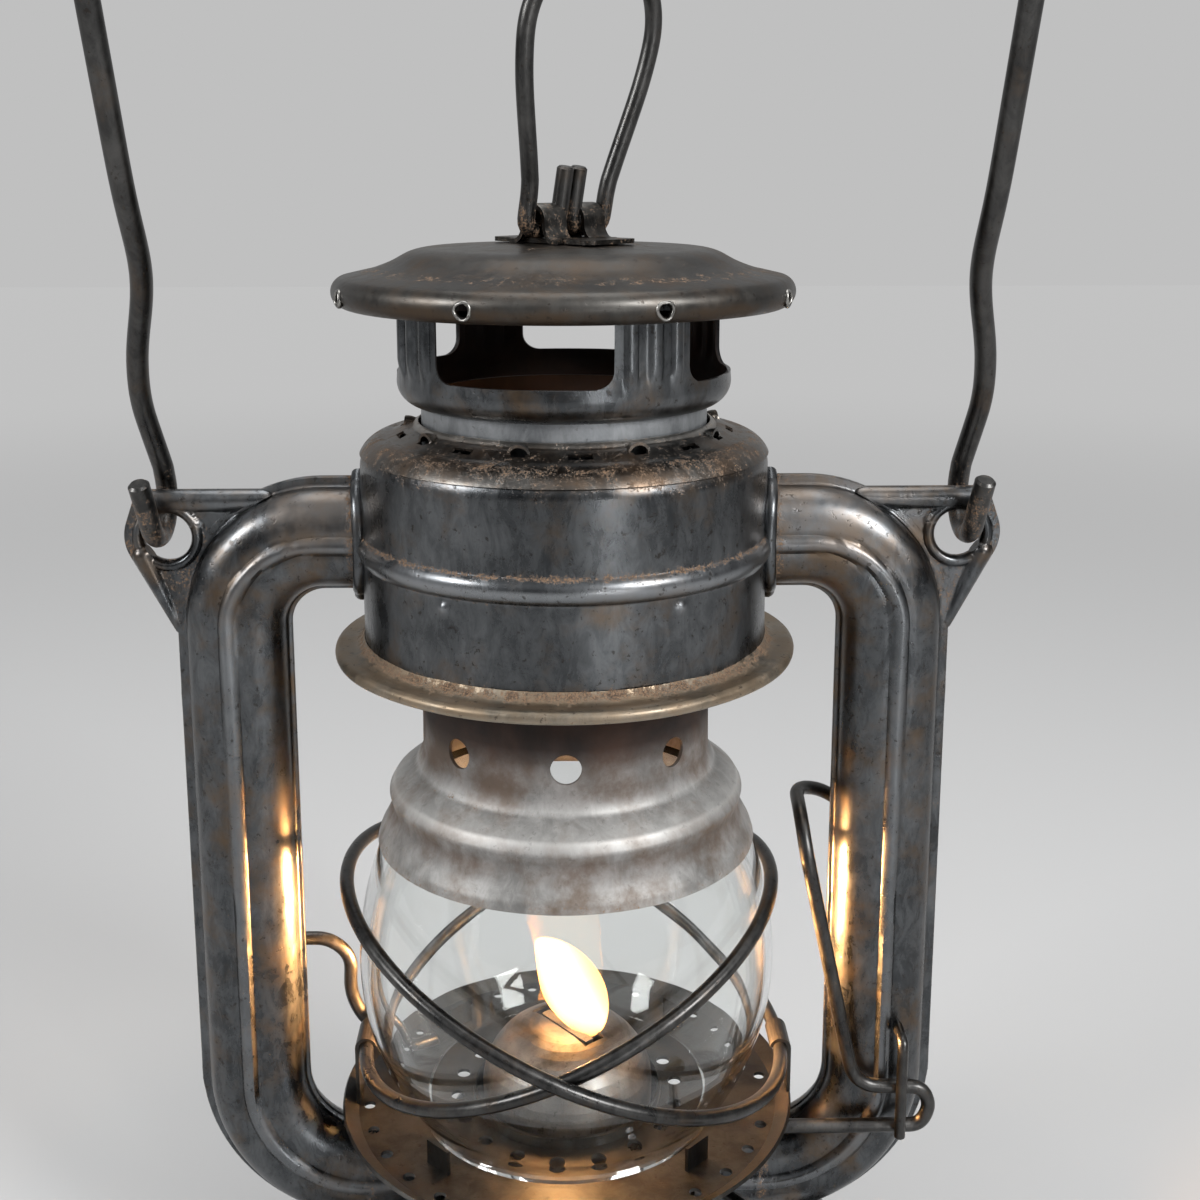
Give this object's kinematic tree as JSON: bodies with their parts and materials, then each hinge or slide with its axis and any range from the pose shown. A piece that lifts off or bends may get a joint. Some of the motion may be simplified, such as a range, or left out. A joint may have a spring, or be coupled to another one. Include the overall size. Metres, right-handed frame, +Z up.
{
  "type": "hurricane lantern",
  "caption": "Small tubular cold-blast oil lantern with a clear glass globe, sliding chimney hood, wire guard, wick burner, round fount and wire carrying bail",
  "frame": {"origin": "centre of the base, on the surface that the lantern stands on", "axes": "+Z up, -Y towards the front as pictured, +X towards the side with the lift handle"},
  "size_m": [0.1686, 0.1264, 0.326],
  "materials": {
    "dark_tin": "tarnished tinned steel, blue-grey, with fine rust at the beads",
    "brown_tin": "tarnished tinned steel with a brown heat patina",
    "fount_tin": "tarnished tinned steel, rubbed bright on the edges",
    "zinc": "matte zinc-coated steel, stained brown by heat",
    "wire": "dark drawn steel wire",
    "globe_glass": "clear pressed glass",
    "burner_brass": "dull brass, darkened by soot",
    "burner_steel": "heat-greyed steel",
    "cotton": "woven cotton wick, charred at the top",
    "cork": "old sealing washer"
  },
  "bodies": {
    "frame": {"tank_shell": "fount_tin", "tank_bottom": "fount_tin", "filler_neck": "fount_tin", "tank_collar": "fount_tin", "lower_air_chamber": "dark_tin", "tube_left_front": "dark_tin", "tube_left_rear": "dark_tin", "tube_right_front": "dark_tin", "tube_right_rear": "dark_tin", "tube_collar_left": "dark_tin", "tube_collar_right": "dark_tin", "air_drum": "dark_tin", "drum_top": "brown_tin", "drum_floor": "dark_tin", "skirt": "brown_tin", "guide_strap": "wire", "burner_body": "burner_brass", "burner_cap": "burner_steel", "wick_tube": "burner_brass", "chimney_spring": "wire"},
    "cap_seal": {"cap_gasket": "cork"},
    "cap": {"filler_cap": "fount_tin"},
    "globe_carrier": {"globe_plate": "brown_tin", "globe": "globe_glass", "guard_outer": "wire", "guard_inner": "wire", "lift_handle": "wire", "guide_hook": "wire"},
    "chimney": {"neck": "zinc", "bell": "zinc", "canopy": "brown_tin", "hood": "brown_tin", "ring_bracket": "brown_tin"},
    "ring": {"lift_ring": "wire"},
    "bail": {"bail": "wire"},
    "wick": {"wick": "cotton"},
    "wick_works": {"wick_shaft": "wire", "wick_wheels": "burner_brass", "wick_knob": "burner_brass"}
  },
  "joints": [
    {"name": "bail_swing", "type": "hinge", "parent": "frame", "child": "bail", "pos_m": [0, 0, 0.1889], "axis": [1, 0, 0], "range_deg": [-139, 91]},
    {"name": "carrier_lift", "type": "slide", "parent": "frame", "child": "globe_carrier", "axis": [0, 0, 1], "range_m": [0, 0.008], "deforming": ["chimney_spring"]},
    {"name": "chimney_lift", "type": "slide", "parent": "globe_carrier", "child": "chimney", "axis": [0, 0, 1], "range_m": [0, 0.015], "stiffness_N_per_m": 150, "springref_m": -0.01, "deforming": ["chimney_spring"]},
    {"name": "ring_swing", "type": "hinge", "parent": "chimney", "child": "ring", "pos_m": [0, 0, 0.2402], "axis": [0.7071, 0.7071, 0], "range_deg": [-97, 73]},
    {"name": "wick_turn", "type": "hinge", "parent": "frame", "child": "wick_works", "pos_m": [0.00322, 0.0027, 0.06], "axis": [0.6428, -0.766, 0], "range_deg": [-90, 143.5]},
    {"name": "wick_rise", "type": "slide", "parent": "frame", "child": "wick", "axis": [0, 0, 1], "range_m": [-0.008, 0.005]},
    {"name": "cap_rise", "type": "slide", "parent": "frame", "child": "cap_seal", "axis": [0, 0, 1], "range_m": [0, 0.005]},
    {"name": "cap_turn", "type": "hinge", "parent": "cap_seal", "child": "cap", "pos_m": [-0.0297, -0.0297, 0.04], "axis": [0, 0, 1], "range_deg": [0, 716.5]}
  ],
  "couplings": [
    {"joint": "wick_turn", "follows": "wick_rise", "rad_per_m": -312.5},
    {"joint": "cap_turn", "follows": "cap_rise", "rad_per_m": 2500}
  ]
}
